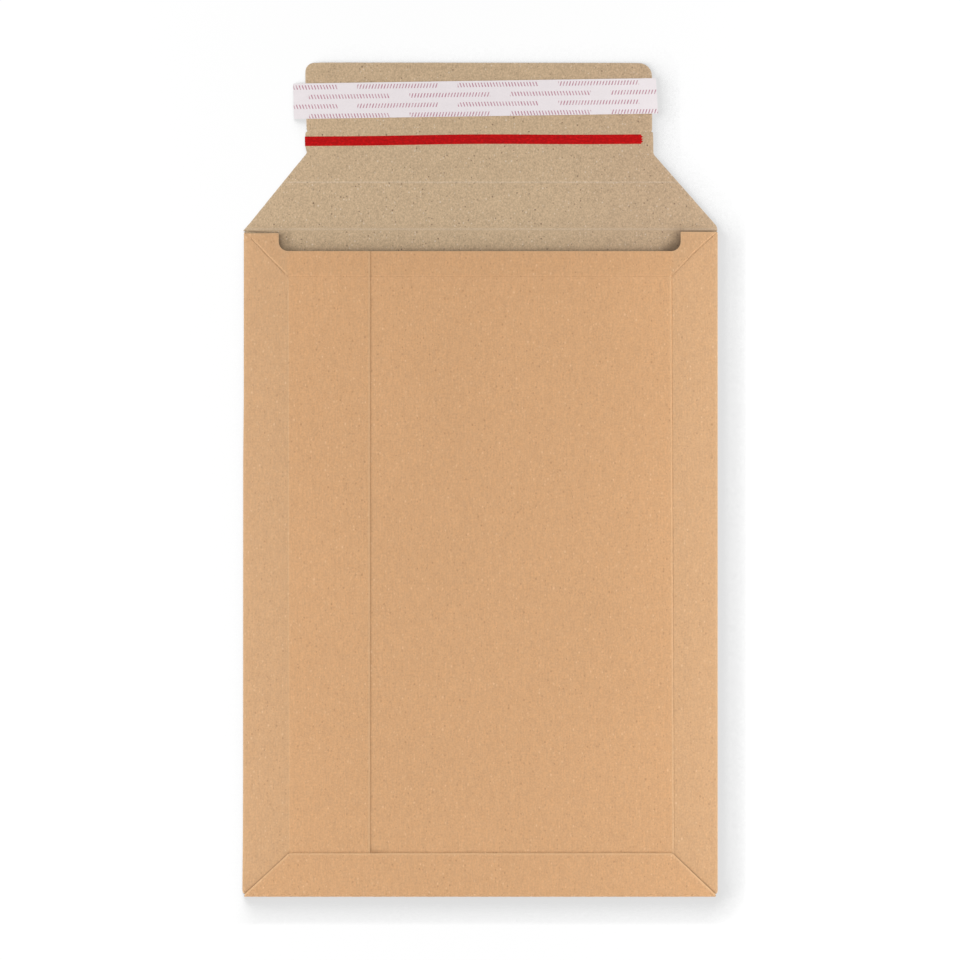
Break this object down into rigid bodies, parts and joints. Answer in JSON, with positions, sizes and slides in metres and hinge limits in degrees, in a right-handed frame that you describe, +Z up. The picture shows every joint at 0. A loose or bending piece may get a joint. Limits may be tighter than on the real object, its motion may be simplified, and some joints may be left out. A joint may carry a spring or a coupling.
{
  "type": "cardboard envelope",
  "caption": "Flat solid-board mailing envelope with an expanding pocket, a hinged closure flap, a tear strip and a lined adhesive strip.",
  "frame": {"origin": "centre of the whole envelope's outline with the flap open, on the surface that the back panel lies on", "axes": "+X across the envelope to the right as seen from the seam side, +Y along it from the bottom fold to the flap's free edge, +Z up out of the back panel towards the seam side"},
  "size_m": [0.25, 0.4404, 0.0077],
  "materials": {
    "kraft_board": "matt kraft-lined solid board, outer face kraft tan, inner face grey-brown",
    "flap_board": "matt speckled grey-brown inner face of the same board, outer face kraft tan",
    "red_tape": "satin red tear tape",
    "liner_paper": "smooth silicone-coated white paper with a pale pink print",
    "tack": "soft pressure-sensitive adhesive, glossy",
    "dry_glue": "dried dispersion glue"
  },
  "bodies": {
    "sleeve": {"folded_sleeve": "kraft_board", "side_seam_glue": "dry_glue", "bottom_glue_left": "dry_glue", "bottom_glue_right": "dry_glue"},
    "flap": {"closure_flap": "flap_board", "tear_strip": "red_tape", "closure_adhesive": "tack", "release_liner": "liner_paper"}
  },
  "joints": [
    {"name": "flap_hinge", "type": "hinge", "parent": "sleeve", "child": "flap", "pos_m": [0, 0.1318, 0.004], "axis": [1, 0, 0], "range_deg": [0, 180]}
  ]
}
